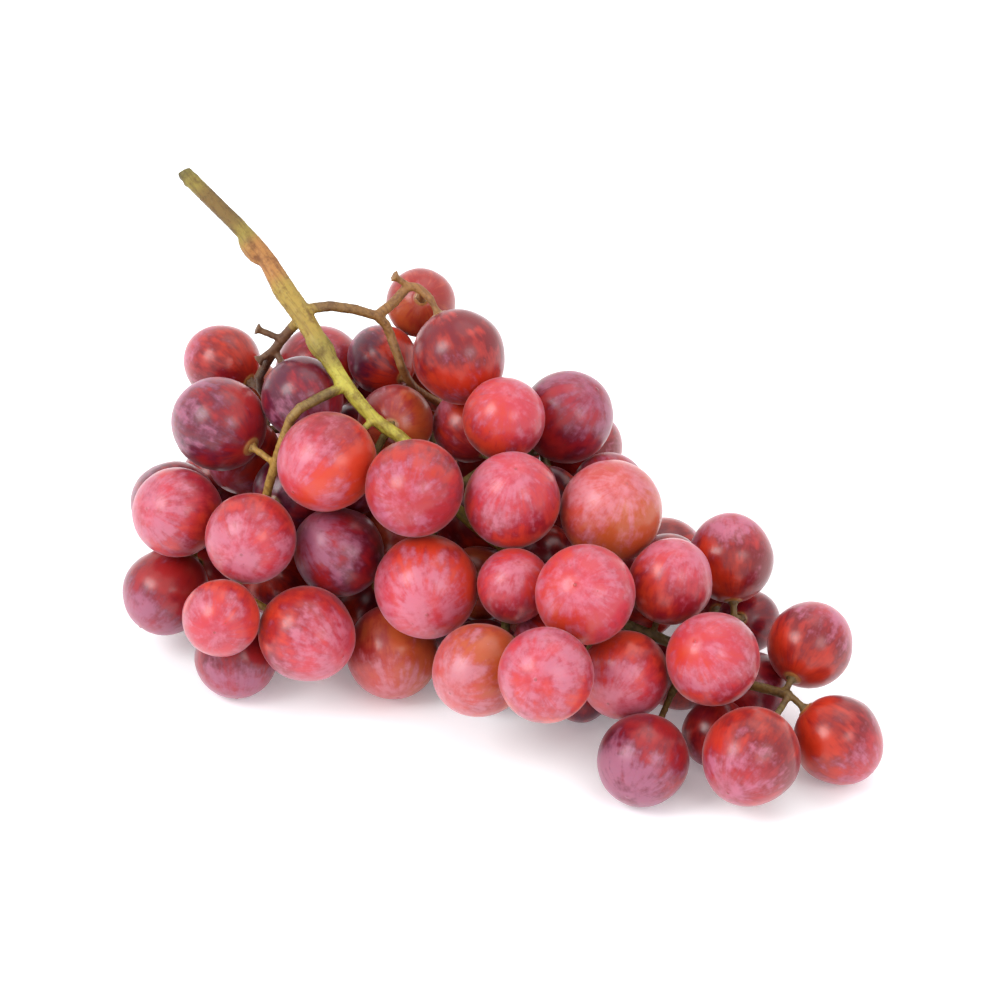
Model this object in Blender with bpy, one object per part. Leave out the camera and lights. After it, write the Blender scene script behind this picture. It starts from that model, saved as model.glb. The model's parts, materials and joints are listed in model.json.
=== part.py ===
# A bunch of red table grapes lying on a flat surface, with its woody stem skeleton.
# x runs along the bunch from the cut stalk to the tip, y across it, z up from the surface.

import bmesh
import bpy
import numpy as np
from mathutils import Matrix, Vector

MM = 0.001

# Berries. A berry's own size is a share of these two.
BERRY_WIDTH = 24.0 * MM
BERRY_LENGTH = 24.6 * MM  # from the stem end to the far tip

# Stem skeleton, as diameters unless it says length.
STALK_LENGTH = 74.0 * MM  # from the crown of the bunch to the cut end
STALK_DIAMETER = 4.8 * MM
RACHIS_DIAMETER = 4.0 * MM  # the main stem inside the bunch
BRANCH_DIAMETER = 2.9 * MM
PEDICEL_DIAMETER = 2.1 * MM  # the short stem of one berry
RECEPTACLE_DIAMETER = 4.2 * MM  # the flare that a berry sits on
PEDICEL_MIN_LENGTH = 3.0 * MM
FLARE_LENGTH = 1.2 * MM  # how far before its berry a pedicel starts to widen
RACHIS_TIP = 0.7  # the rachis's thickness at its tip, as a share of its own at the crown
BRANCH_TAPER = (1.1, 0.85)  # a side branch's thickness at its base and at its end

CLEARANCE = 0.3 * MM  # free space kept between any two separate pieces

BERRY_SEGMENTS = 12
BERRY_RINGS = 8
RACHIS_SPAN_POINTS = 3
BRANCH_SPAN_POINTS = 2
BRANCH_ROUNDNESS = 2
PEDICEL_ROUNDNESS = 1

SETTLE_STEPS = 500
HOLD_STEPS = 310  # the steps in which berries are still drawn back to their planned places
HOLD = 0.04
PUSH = 0.45  # the share of each shortfall that one step makes good

SKIN_COLOURS = {
    "red": (0.42, 0.035, 0.045),
    "pink": (0.62, 0.12, 0.14),
    "purple": (0.27, 0.06, 0.11),
    "amber": (0.58, 0.13, 0.05),
}
SKIN_ROUGHNESS = 0.35
WOOD_COLOUR = (0.30, 0.20, 0.07)
WOOD_ROUGHNESS = 0.7

# The stalk's points are shares of its length, counted from the crown, where it enters the bunch:
# along, across, up, and its thickness there as a share of the stalk's.
STALK_COURSE = [
    (-0.80, 0.18, 0.58, 0.82),
    (-0.76, 0.175, 0.55, 0.95),
    (-0.47, 0.16, 0.36, 1.0),
    (-0.32, 0.11, 0.24, 1.38),
    (-0.22, 0.08, 0.17, 1.3),
]
# All the places below are in berry widths, so that the bunch grows with its berries.
RACHIS_COURSE = [  # from the crown to the tip
    (-2.25, 0.1, 3.2),
    (-1.8, 0.05, 2.85),
    (-1.35, 0.1, 2.6),
    (-0.95, 0.1, 2.1),
    (-0.35, 0.15, 1.65),
    (0.65, 0.05, 1.4),
    (1.45, 0.0, 1.2),
    (2.15, 0.1, 1.05),
    (2.65, 0.1, 0.8),
    (3.05, 0.1, 0.85),
    (3.6, 0.1, 0.9),
]

# Each side branch leaves its bearer at the place nearest its first point.
BRANCHES = {
    "shoulder": [
        (-2.2, 0.1, 3.15),
        (-2.45, -0.5, 3.1),
        (-2.55, -0.65, 2.85),
        (-2.65, -0.8, 2.35),
        (-2.7, -0.9, 2.0),
        (-2.7, -1.05, 1.45),
        (-2.75, -1.55, 1.1),
    ],
    "back_shoulder": [
        (-2.95, 0.35, 3.7),
        (-3.2, 0.3, 3.35),
        (-3.45, 0.3, 2.9),
        (-3.7, 0.55, 2.35),
        (-3.4, 0.9, 1.5),
    ],
    "top_fork": [
        (-2.95, 0.4, 3.8),
        (-2.7, 0.6, 3.8),
        (-2.3, 0.95, 3.6),
        (-2.15, 1.0, 3.35),
        (-1.95, 0.9, 3.05),
        (-1.9, 1.1, 2.65),
        (-1.7, 1.35, 2.35),
    ],
    "top_spur": [
        (-2.3, 0.95, 3.6),
        (-2.2, 1.2, 3.7),
        (-2.1, 1.35, 3.85),
        (-1.95, 1.4, 3.8),
        (-1.8, 1.35, 3.75),
    ],
    "shoulder_side": [(-2.7, -0.95, 1.8), (-3.1, -0.85, 1.55), (-3.4, -0.85, 1.45)],
    "centre_back": [(-0.85, 0.1, 2.05), (-0.8, 0.75, 2.05), (-0.55, 1.2, 2.1), (-0.45, 1.7, 1.9)],
    "core_back": [(-0.95, 0.1, 2.1), (-1.5, 0.9, 1.65), (-1.75, 1.4, 1.25)],
    "belly": [(-0.9, 0.1, 2.05), (-1.0, -0.15, 1.5), (-1.4, -0.4, 1.05), (-1.3, -0.6, 1.0)],
    "keel": [(0.1, 0.1, 1.5), (0.25, -0.4, 1.2), (0.4, -0.75, 1.1), (0.6, -0.85, 1.15)],
    "flank": [(0.4, 0.1, 1.45), (0.7, 0.7, 1.5), (0.95, 1.2, 1.35)],
    "fore": [(1.3, 0.05, 1.25), (1.35, -0.5, 1.05), (1.3, -1.0, 1.15)],
    "tip_front": [(2.3, 0.1, 0.9), (2.35, -0.4, 0.75)],
    "tip_side": [(2.35, 0.1, 0.85), (2.4, 0.75, 1.0), (2.5, 0.85, 1.1)],
}
BORNE_BY = {"top_spur": "top_fork", "shoulder_side": "shoulder"}  # the others leave the rachis
BARE_STUBS = [  # two dried ends that lost their berries, and an empty receptacle
    [(-3.2, 0.3, 3.35), (-3.45, 0.15, 3.5)],
    [(-3.3, 0.3, 3.2), (-3.45, 0.15, 3.05)],
    [(-2.1, 1.35, 3.85), (-2.25, 1.25, 4.0)],
]

# The berries of each branch: planned place, size as a share of an ordinary berry, and skin.
BERRIES = {
    "shoulder": [
        (-3.55, -0.55, 2.55, 1.06, "purple"),
        (-2.8, -0.45, 1.75, 0.94, "purple"),
        (-2.5, -1.5, 1.9, 1.02, "pink"),
        (-2.7, -0.8, 0.85, 0.9, "red"),
        (-2.4, -2.3, 1.35, 0.86, "pink"),
        (-2.5, -1.95, 0.5, 0.94, "purple"),
        (-1.6, -1.8, 1.05, 1.08, "pink"),
    ],
    "shoulder_side": [
        (-3.55, -1.4, 1.8, 1.02, "pink"),
        (-4.15, -0.7, 1.3, 1.0, "purple"),
        (-3.65, -1.65, 0.8, 0.98, "purple"),
    ],
    "back_shoulder": [
        (-4.17, 0.66, 2.41, 0.9, "red"),
        (-4.32, 1.24, 1.71, 0.78, "amber"),
        (-3.24, 1.15, 2.36, 1.0, "red"),
        (-3.16, 2.18, 1.82, 0.84, "purple"),
        (-2.75, 0.0, 2.85, 0.92, "purple"),
        (-3.55, 0.0, 1.7, 0.86, "red"),
        (-4.15, 0.2, 1.1, 0.86, "red"),
        (-3.35, 1.0, 0.5, 1.0, "red"),
    ],
    "top_fork": [(-2.3, 1.35, 2.75, 0.8, "red"), (-2.1, 2.0, 2.35, 0.96, "amber")],
    "top_spur": [(-1.35, 1.15, 3.3, 1.06, "red"), (-2.35, 1.85, 3.05, 0.8, "amber")],
    "rachis": [
        (-1.95, -0.75, 2.7, 1.1, "pink"),
        (-0.8, -0.7, 2.65, 1.1, "red"),
        (-1.85, 0.65, 2.5, 0.86, "amber"),
        (0.15, -0.2, 2.35, 1.08, "pink"),
        (1.3, -0.7, 1.85, 1.1, "pink"),
        (1.9, -0.3, 1.05, 0.98, "pink"),
        (1.9, 0.2, 1.6, 0.94, "pink"),
        (2.85, -0.3, 1.35, 1.04, "pink"),
        (2.3, 0.15, 0.4, 0.84, "red"),
        (3.05, -0.15, 0.35, 0.74, "red"),
        (3.4, -0.7, 0.6, 1.08, "red"),
        (4.05, 0.1, 0.5, 0.98, "red"),
        (3.5, 0.7, 1.1, 0.94, "red"),
    ],
    "centre_back": [
        (-1.2, 1.15, 2.3, 0.8, "pink"),
        (-0.4, 0.65, 2.95, 0.92, "pink"),
        (-0.25, 1.45, 2.4, 1.04, "purple"),
        (-0.3, 2.3, 1.65, 0.92, "red"),
        (-0.35, 1.45, 1.75, 0.78, "pink"),
    ],
    "core_back": [
        (-2.4, 2.25, 1.6, 0.72, "amber"),
        (-1.55, 0.0, 1.35, 0.8, "amber"),
    ],
    "belly": [
        (-1.75, -0.85, 1.55, 1.02, "purple"),
        (-0.85, -0.75, 0.5, 1.04, "amber"),
        (-0.5, -0.95, 1.6, 1.16, "pink"),
        (-1.8, -0.25, 0.45, 0.9, "red"),
        (-0.15, -0.05, 1.2, 0.84, "amber"),
    ],
    "keel": [
        (0.6, -1.4, 1.2, 1.04, "amber"),
        (0.1, -0.7, 0.5, 0.98, "purple"),
        (0.45, -0.5, 1.55, 0.82, "pink"),
    ],
    "flank": [
        (1.05, 0.5, 2.25, 1.14, "amber"),
        (1.2, 1.4, 1.1, 0.74, "red"),
        (0.1, 0.65, 1.25, 0.8, "red"),
        (0.25, 1.35, 0.5, 0.96, "red"),
    ],
    "fore": [(1.45, -1.75, 1.6, 1.04, "pink"), (1.2, -0.4, 0.35, 0.68, "purple")],
    "tip_front": [(2.3, -1.1, 0.5, 1.0, "purple")],
    "tip_side": [(2.3, 1.15, 1.4, 0.98, "red"), (2.45, 1.35, 0.7, 0.7, "purple")],
}


def clear_scene():
    for old in list(bpy.data.objects):
        bpy.data.objects.remove(old, do_unlink=True)


def new_collection(name):
    made = bpy.data.collections.new(name)
    bpy.context.scene.collection.children.link(made)
    return made


def material(name, colour, roughness):
    made = bpy.data.materials.new(name)
    made.use_nodes = True
    shader = made.node_tree.nodes["Principled BSDF"]
    shader.inputs["Base Color"].default_value = (*colour, 1)
    shader.inputs["Roughness"].default_value = roughness
    made.diffuse_color = (*colour, 1)
    return made


def nearest_on_rods(places, starts, ends):
    """For each place and each rod, the point of the rod's axis that is nearest."""
    along = ends - starts
    offset = places[:, None] - starts[None]
    share = (offset * along).sum(axis=2) / np.maximum((along * along).sum(axis=1), 1e-12)
    return starts + np.clip(share, 0, 1)[..., None] * along


def nearest_on_course(place, course):
    near = nearest_on_rods(place[None], course[:-1], course[1:])[0]
    return near[np.linalg.norm(near - place, axis=1).argmin()]


def smooth_course(course, per_span):
    """A Catmull-Rom curve through every point of the course."""
    padded = np.vstack([2 * course[0] - course[1], course, 2 * course[-1] - course[-2]])
    points = []
    for a, b, c, d in zip(padded, padded[1:], padded[2:], padded[3:]):
        for t in np.arange(per_span) / per_span:
            points.append(
                b + 0.5 * t * ((c - a) + t * (2 * a - 5 * b + 4 * c - d + t * (3 * (b - c) + d - a)))
            )
    points.append(course[-1])
    return np.array(points)


def main_stem():
    """The stalk and the rachis as one course, with its diameters."""
    stalk = np.array(STALK_COURSE)
    rachis = np.array(RACHIS_COURSE) * BERRY_WIDTH
    rachis_widths = np.linspace(1, RACHIS_TIP, len(rachis)) * RACHIS_DIAMETER
    rachis_widths[0] = (STALK_DIAMETER + RACHIS_DIAMETER) / 2  # it eases into the stalk
    points = np.vstack([rachis[0] + stalk[:, :3] * STALK_LENGTH, rachis])
    return points, np.append(stalk[:, 3] * STALK_DIAMETER, rachis_widths)


def all_courses():
    """Every branch's course in metres, each starting on the axis of the stem that bears it."""
    courses = {"rachis": main_stem()[0]}
    for name, places in BRANCHES.items():
        course = np.array(places) * BERRY_WIDTH
        parent = BORNE_BY.get(name, "rachis")
        course[0] = nearest_on_course(course[0], courses[parent])
        courses[name] = course
    return courses


def rods_of(courses):
    """Starts, ends, radii and owner of each straight length of the skeleton."""
    starts, ends, radii, owners = [], [], [], []
    for name, course in courses.items():
        radius = (STALK_DIAMETER if name == "rachis" else BRANCH_DIAMETER) / 2
        for a, b in zip(course, course[1:]):
            starts.append(a)
            ends.append(b)
            radii.append(radius)
            owners.append(name)
    return np.array(starts), np.array(ends), np.array(radii), owners


def push_from(places, near, keep):
    """How far each place has to move to be at least `keep` from its nearest points."""
    away = places[:, None] - near
    distance = np.maximum(np.linalg.norm(away, axis=2), 1e-6)
    short = np.maximum(keep - distance, 0)
    return (away / distance[..., None] * short[..., None]).sum(axis=1)


def keep_from_others(radii, others_radius):
    """The least distance of each berry's centre from every other berry's piece of that radius."""
    keep = radii[:, None] + np.broadcast_to(others_radius, len(radii)) + CLEARANCE
    np.fill_diagonal(keep, 0)
    return keep


def settle(plan, radii, owners, courses):
    """Moves the planned berries apart, off the skeleton, off each other's pedicels and onto the
    surface, at z = 0."""
    starts, ends, rod_radii, rod_owners = rods_of(courses)
    own = np.array([[rod == owner for rod in rod_owners] for owner in owners])
    from_rods = radii[:, None] + rod_radii + CLEARANCE + own * PEDICEL_MIN_LENGTH
    from_berries = keep_from_others(radii, radii)
    from_pedicels = keep_from_others(radii, PEDICEL_DIAMETER / 2 + CLEARANCE)
    from_receptacles = keep_from_others(radii, RECEPTACLE_DIAMETER / 2)
    places = plan.copy()
    for step in range(SETTLE_STEPS):
        roots = np.array([nearest_on_course(p, courses[o]) for p, o in zip(places, owners)])
        inward = (roots - places) / np.linalg.norm(roots - places, axis=1)[:, None]
        faces = places + inward * radii[:, None]
        push = push_from(places, places[None], from_berries)
        push += push_from(places, nearest_on_rods(places, starts, ends), from_rods)
        push += push_from(places, nearest_on_rods(places, roots, faces), from_pedicels)
        push += push_from(places, faces[None], from_receptacles)
        hold = HOLD * max(0, 1 - step / HOLD_STEPS)
        places += PUSH * push + hold * (plan - places)
        places[:, 2] = np.maximum(places[:, 2], radii)
    return places


def tube(name, points, widths, roundness, collection):
    """A round stem through the points, as a mesh with its caps welded on."""
    curve = bpy.data.curves.new(name, "CURVE")
    curve.dimensions = "3D"
    curve.bevel_depth = 0.5  # so that a point's radius is the stem's width there
    curve.bevel_resolution = roundness
    curve.use_fill_caps = True
    spline = curve.splines.new("POLY")
    spline.points.add(len(points) - 1)
    for point, place, width in zip(spline.points, points, widths):
        point.co = (*place, 1)
        point.radius = width
    guide = bpy.data.objects.new(name, curve)
    collection.objects.link(guide)
    graph = bpy.context.evaluated_depsgraph_get()
    mesh = bpy.data.meshes.new_from_object(guide.evaluated_get(graph))
    bpy.data.objects.remove(guide)
    shape = bmesh.new()
    shape.from_mesh(mesh)
    bmesh.ops.remove_doubles(shape, verts=shape.verts, dist=1e-6)
    bmesh.ops.recalc_face_normals(shape, faces=shape.faces)
    shape.to_mesh(mesh)
    shape.free()
    made = bpy.data.objects.new(name, mesh)
    collection.objects.link(made)
    return made


def pedicel(name, root, face, twigs):
    """A berry's short stem from its branch, flared where the berry sits."""
    flare = face + (root - face) / np.linalg.norm(root - face) * FLARE_LENGTH
    widths = (PEDICEL_DIAMETER, PEDICEL_DIAMETER, RECEPTACLE_DIAMETER)
    tube(name, (root, flare, face), widths, PEDICEL_ROUNDNESS, twigs)


def make_stem(courses, berries, collection, twigs, wood):
    """The stalk, rachis, branches and pedicels, united into one solid."""
    points, widths = main_stem()
    line = smooth_course(points, RACHIS_SPAN_POINTS)
    widths = np.interp(np.linspace(0, 1, len(line)), np.linspace(0, 1, len(points)), widths)
    stem = tube("stem", line, widths, BRANCH_ROUNDNESS, collection)
    for name in BRANCHES:
        line = smooth_course(courses[name], BRANCH_SPAN_POINTS)
        widths = np.linspace(*BRANCH_TAPER, len(line)) * BRANCH_DIAMETER
        tube(name, line, widths, BRANCH_ROUNDNESS, twigs)
    for i, ends in enumerate(BARE_STUBS):
        pedicel(f"bare_stub_{i + 1}", *np.array(ends) * BERRY_WIDTH, twigs)
    for name, place, radius, owner in berries:
        root = nearest_on_course(place, courses[owner])
        inward = (root - place) / np.linalg.norm(root - place)
        pedicel(f"{name}_pedicel", root, place + inward * (radius + CLEARANCE), twigs)
    for twig in twigs.objects:
        twig.hide_render = True
        twig.display_type = "WIRE"
    union = stem.modifiers.new("one piece", "BOOLEAN")
    union.operation = "UNION"
    union.operand_type = "COLLECTION"
    union.collection = twigs
    union.solver = "EXACT"
    stem.data.materials.append(wood)


def berry_mesh(skin):
    """A sphere one metre across, which each berry scales to its own size."""
    mesh = bpy.data.meshes.new(f"berry_{skin.name}")
    shape = bmesh.new()
    bmesh.ops.create_uvsphere(shape, u_segments=BERRY_SEGMENTS, v_segments=BERRY_RINGS, radius=0.5)
    shape.to_mesh(mesh)
    shape.free()
    mesh.shade_smooth()
    mesh.materials.append(skin)
    return mesh


def make_berries(berries, sizes, skins, courses, collection):
    """Each berry on its place, with its stem end towards its branch."""
    meshes = {}
    for skin, colour in SKIN_COLOURS.items():
        meshes[skin] = berry_mesh(material(f"{skin}_skin", colour, SKIN_ROUGHNESS))
    for (name, place, _, owner), size, skin in zip(berries, sizes, skins):
        berry = bpy.data.objects.new(name, meshes[skin])
        inward = Vector(nearest_on_course(place, courses[owner]) - place)
        berry.location = place
        berry.rotation_mode = "QUATERNION"
        berry.rotation_quaternion = inward.to_track_quat("Z", "Y")
        berry.scale = (size * BERRY_WIDTH, size * BERRY_WIDTH, size * BERRY_LENGTH)
        collection.objects.link(berry)


def stand_on_origin(collection, helpers):
    """Moves everything so that the origin is the middle of the bunch's box, on its underside."""
    bpy.context.view_layer.update()
    graph = bpy.context.evaluated_depsgraph_get()
    corners = []
    for piece in collection.objects:
        shape = piece.evaluated_get(graph)
        corners += [shape.matrix_world @ vertex.co for vertex in shape.to_mesh().vertices]
    corners = np.array(corners)
    low, high = corners.min(axis=0), corners.max(axis=0)
    shift = Matrix.Translation((-(low[0] + high[0]) / 2, -(low[1] + high[1]) / 2, -low[2]))
    for piece in list(collection.objects) + list(helpers.objects):
        piece.matrix_world = shift @ piece.matrix_world


def build():
    clear_scene()
    bunch = new_collection("bunch_of_grapes")
    twigs = new_collection("stem_twigs")
    courses = all_courses()
    names, plan, sizes, skins, owners = [], [], [], [], []
    for owner, group in BERRIES.items():
        for i, (x, y, z, size, skin) in enumerate(group):
            names.append(f"{owner}_berry_{i + 1}")
            plan.append((x, y, z))
            sizes.append(size)
            skins.append(skin)
            owners.append(owner)
    radii = np.array(sizes) * max(BERRY_WIDTH, BERRY_LENGTH) / 2
    places = settle(np.array(plan) * BERRY_WIDTH, radii, owners, courses)
    lengths = np.array(sizes) * BERRY_LENGTH / 2
    berries = list(zip(names, places, lengths, owners))
    make_berries(berries, sizes, skins, courses, bunch)
    wood = material("green_wood", WOOD_COLOUR, WOOD_ROUGHNESS)
    make_stem(courses, berries, bunch, twigs, wood)
    stand_on_origin(bunch, twigs)


build()
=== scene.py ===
# A bunch of red grapes with its stalk, given its skin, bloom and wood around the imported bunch.
import json
import math
import random

import bmesh
import bpy
import numpy as np
from mathutils import Matrix, Vector
from mathutils.kdtree import KDTree


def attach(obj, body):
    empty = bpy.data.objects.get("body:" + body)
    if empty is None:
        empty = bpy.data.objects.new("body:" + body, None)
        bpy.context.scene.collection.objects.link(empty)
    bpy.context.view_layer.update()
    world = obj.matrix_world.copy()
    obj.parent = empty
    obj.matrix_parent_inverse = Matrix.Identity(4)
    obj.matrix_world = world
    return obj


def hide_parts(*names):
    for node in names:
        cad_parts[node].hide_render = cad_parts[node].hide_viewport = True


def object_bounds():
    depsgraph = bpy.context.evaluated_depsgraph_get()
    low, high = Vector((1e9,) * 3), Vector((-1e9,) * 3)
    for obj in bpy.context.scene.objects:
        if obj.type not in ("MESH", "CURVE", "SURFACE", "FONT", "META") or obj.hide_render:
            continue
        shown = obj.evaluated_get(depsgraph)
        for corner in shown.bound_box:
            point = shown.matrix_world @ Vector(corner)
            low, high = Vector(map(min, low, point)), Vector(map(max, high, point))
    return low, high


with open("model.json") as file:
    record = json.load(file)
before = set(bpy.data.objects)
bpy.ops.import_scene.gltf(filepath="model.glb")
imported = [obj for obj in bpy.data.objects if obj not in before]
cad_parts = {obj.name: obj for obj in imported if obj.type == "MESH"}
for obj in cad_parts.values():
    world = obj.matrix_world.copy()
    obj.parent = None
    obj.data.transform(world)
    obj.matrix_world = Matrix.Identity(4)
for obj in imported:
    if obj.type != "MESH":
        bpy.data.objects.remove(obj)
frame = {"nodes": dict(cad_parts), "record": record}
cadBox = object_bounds()
mm = 0.001

# The camera looks down on the long side of the bunch, with the stalk to the left.
view = {
    "target": (-13.1 * mm, 20.1 * mm, 39.9 * mm),
    "turn": 30.0,  # degrees round the bunch
    "tilt": 35.0,  # degrees above the surface
    "distance": 1.09,
    "lens": 140.0,
}

studio = {
    "surface": (0.93, 0.965, 0.975),
    "surfaceSize": 8.0,
    "surfaceGlow": 0.18,  # the white surface is lit a little from below
    "glowColour": (0.97, 0.94, 1.0, 1.0),
    "skyStrength": 1.1,
    "keySide": (-0.383, -0.617, 0.687),  # towards the left lamp
    "keyPower": 8.5,
    "keySize": 0.65,
    "fillSide": (0.747, -0.327, 0.578),  # towards the right lamp
    "fillPower": 3.6,
    "fillSize": 0.6,
    "topSide": (0.05, 0.35, 0.93),  # towards the lamp above and behind
    "topPower": 3.0,
    "topSize": 1.0,
    "lampDistance": 1.3,
}

turn, tilt = math.radians(view["turn"]), math.radians(view["tilt"])
towardsViewer = Vector((math.sin(turn) * math.cos(tilt), -math.cos(turn) * math.cos(tilt), math.sin(tilt)))
viewerRight = Vector((math.cos(turn), math.sin(turn), 0.0))
viewerUp = towardsViewer.cross(viewerRight)


def makeCamera():
    lensData = bpy.data.cameras.new("camera")
    lensData.lens = view["lens"]
    lensData.clip_end = 50.0
    camera = bpy.data.objects.new("camera", lensData)
    bpy.context.scene.collection.objects.link(camera)
    camera.location = Vector(view["target"]) + towardsViewer * view["distance"]
    camera.rotation_euler = towardsViewer.to_track_quat("Z", "Y").to_euler()
    bpy.context.scene.camera = camera


def makeLamp(name, side, power, size):
    lamp = bpy.data.lights.new(name, "AREA")
    lamp.shape = "DISK"
    lamp.size = size
    lamp.energy = power
    holder = bpy.data.objects.new(name, lamp)
    bpy.context.scene.collection.objects.link(holder)
    direction = Vector(side).normalized()
    holder.location = Vector(view["target"]) + direction * studio["lampDistance"]
    holder.rotation_euler = direction.to_track_quat("Z", "Y").to_euler()


def clearSelection():
    if bpy.context.mode != "OBJECT":
        bpy.ops.object.mode_set(mode="OBJECT")
    bpy.ops.object.select_all(action="DESELECT")


def pick(piece):
    clearSelection()
    piece.select_set(True)
    bpy.context.view_layer.objects.active = piece


def finishWith(piece, kind, **settings):
    pick(piece)
    modifier = piece.modifiers.new(kind.lower(), kind)
    for setting, value in settings.items():
        setattr(modifier, setting, value)
    bpy.ops.object.modifier_apply(modifier=modifier.name)


def plainMaterial(name, colour, roughness):
    material = bpy.data.materials.new(name)
    material.use_nodes = True
    shader = material.node_tree.nodes["Principled BSDF"]
    shader.inputs["Base Color"].default_value = (*colour, 1.0)
    shader.inputs["Roughness"].default_value = roughness
    return material


def makeStudio():
    clearSelection()
    bpy.ops.mesh.primitive_plane_add(size=studio["surfaceSize"])
    surface = bpy.context.object
    surface.name = "surface"
    paper = plainMaterial("whitePaper", studio["surface"], 0.9)
    shader = paper.node_tree.nodes["Principled BSDF"]
    shader.inputs["Emission Color"].default_value = studio["glowColour"]
    shader.inputs["Emission Strength"].default_value = studio["surfaceGlow"]
    surface.data.materials.append(paper)
    world = bpy.data.worlds.new("whiteRoom")
    bpy.context.scene.world = world
    world.use_nodes = True
    sky = world.node_tree.nodes["Background"]
    sky.inputs["Color"].default_value = (1.0, 1.0, 1.0, 1.0)
    sky.inputs["Strength"].default_value = studio["skyStrength"]
    for lamp in ("key", "fill", "top"):
        makeLamp(lamp + "Lamp", studio[lamp + "Side"], studio[lamp + "Power"], studio[lamp + "Size"])
    bpy.context.scene.view_settings.view_transform = "Standard"


makeCamera()
makeStudio()
print("camera, lamps and surface are set")


# Where each packed berry is, and which way its stem end points.
def mergedCopy(node):
    shape = bmesh.new()
    shape.from_mesh(node.data)
    bmesh.ops.remove_doubles(shape, verts=shape.verts, dist=1e-6)
    return shape


stemNode = frame["nodes"]["stem"]
stemTree = KDTree(len(stemNode.data.vertices))
for vertex in stemNode.data.vertices:
    stemTree.insert(vertex.co, vertex.index)
stemTree.balance()


def berryPlace(node):
    shape = mergedCopy(node)
    ends = sorted(shape.verts, key=lambda vertex: -len(vertex.link_edges))[:2]  # the poles have the most edges
    ends = sorted((vertex.co.copy() for vertex in ends), key=lambda point: stemTree.find(point)[2])
    centre = (ends[0] + ends[1]) / 2
    axis = (ends[0] - ends[1]).normalized()
    half = (ends[0] - ends[1]).length / 2
    reach = max((vertex.co - centre - axis * (vertex.co - centre).dot(axis)).length for vertex in shape.verts)
    shape.free()
    return {"centre": centre, "axis": axis, "half": half, "reach": reach, "stemEnd": ends[0]}


berryNames = sorted(name for name in frame["nodes"] if name != "stem")
places = {name: berryPlace(frame["nodes"][name]) for name in berryNames}
print("placed", len(places), "berries")

berry = {
    "segments": 32,
    "rings": 24,
    "swell": 0.5 * mm,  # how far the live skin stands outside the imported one
    "pressGap": 0.02 * mm,  # space left between two berries that press on each other
    "lumpSize": 9.0 * mm,
    "lumpHeight": 0.35 * mm,
    "drawnInFrom": 0.45,  # the height, in berry radii, past which an end is drawn in
    "drawnInReach": 0.7,
    "leansWithin": 1.5 * mm,  # how near two packed berries are if their live skins press
    "seatAbove": 0.97,  # the stem end, in berry radii
    "seatInset": 0.035,
    "seatDip": -0.014,
    "seatRise": 0.03,
    "scarBelow": -0.99,  # the dried style's mark at the far end
    "scarInset": 0.085,
    "scarRim": 0.012,
    "scarDip": -0.012,
    "scarRise": 0.016,
    "nearReach": 2.8 * mm,  # how far from a neighbour the wax is rubbed off and a painted glow of light through the flesh is laid on
}

# Base shapes: how much each half is drawn in, for a plump, a tapering and a short berry.
berryShapes = {"plump": (1.0, 0.985), "tapering": (0.985, 0.945), "broad": (0.955, 1.0)}


def selectFaces(piece, wanted):
    bpy.ops.mesh.select_mode(type="FACE")
    bpy.ops.mesh.select_all(action="DESELECT")
    shape = bmesh.from_edit_mesh(piece.data)
    for face in shape.faces:
        face.select_set(wanted(face.calc_center_median()))
    bmesh.update_edit_mesh(piece.data)


def modelBerry(name, stemHalf, tipHalf):
    clearSelection()
    bpy.ops.mesh.primitive_uv_sphere_add(segments=berry["segments"], ring_count=berry["rings"], radius=1.0)
    piece = bpy.context.object
    piece.name = name
    bpy.ops.object.mode_set(mode="EDIT")
    for end, drawnIn in ((1, stemHalf), (-1, tipHalf)):
        selectFaces(piece, lambda at: at.z * end > berry["drawnInFrom"])
        bpy.ops.transform.resize(
            value=(drawnIn, drawnIn, 1.0),
            center_override=(0.0, 0.0, 0.0),
            use_proportional_edit=True,
            proportional_edit_falloff="SMOOTH",
            proportional_size=berry["drawnInReach"],
        )
    selectFaces(piece, lambda at: at.z > berry["seatAbove"])  # the seat of its short stem
    bpy.ops.mesh.inset(thickness=berry["seatInset"], depth=berry["seatDip"])
    bpy.ops.mesh.inset(thickness=berry["seatInset"], depth=berry["seatRise"])
    selectFaces(piece, lambda at: at.z < berry["scarBelow"])  # the mark of the dried style
    bpy.ops.mesh.inset(thickness=berry["scarInset"], depth=berry["scarDip"])
    bpy.ops.mesh.inset(thickness=berry["scarRim"], depth=berry["scarRise"])
    bpy.ops.mesh.select_all(action="SELECT")
    bpy.ops.mesh.normals_make_consistent(inside=False)
    bpy.ops.object.mode_set(mode="OBJECT")
    finishWith(piece, "SUBSURF", levels=1, render_levels=1)
    bpy.ops.object.shade_smooth()
    inBerry = piece.data.attributes.new("inBerry", "FLOAT_VECTOR", "POINT")
    inBerry.data.foreach_set("vector", [number for vertex in piece.data.vertices for number in vertex.co])
    return piece


def pointsOf(mesh):
    points = np.empty(len(mesh.vertices) * 3, np.float32)
    mesh.vertices.foreach_get("co", points)
    return points.reshape(-1, 3).astype(float)


def setPoints(mesh, points):
    mesh.vertices.foreach_set("co", points.astype(np.float32).reshape(-1))
    mesh.update()


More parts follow.
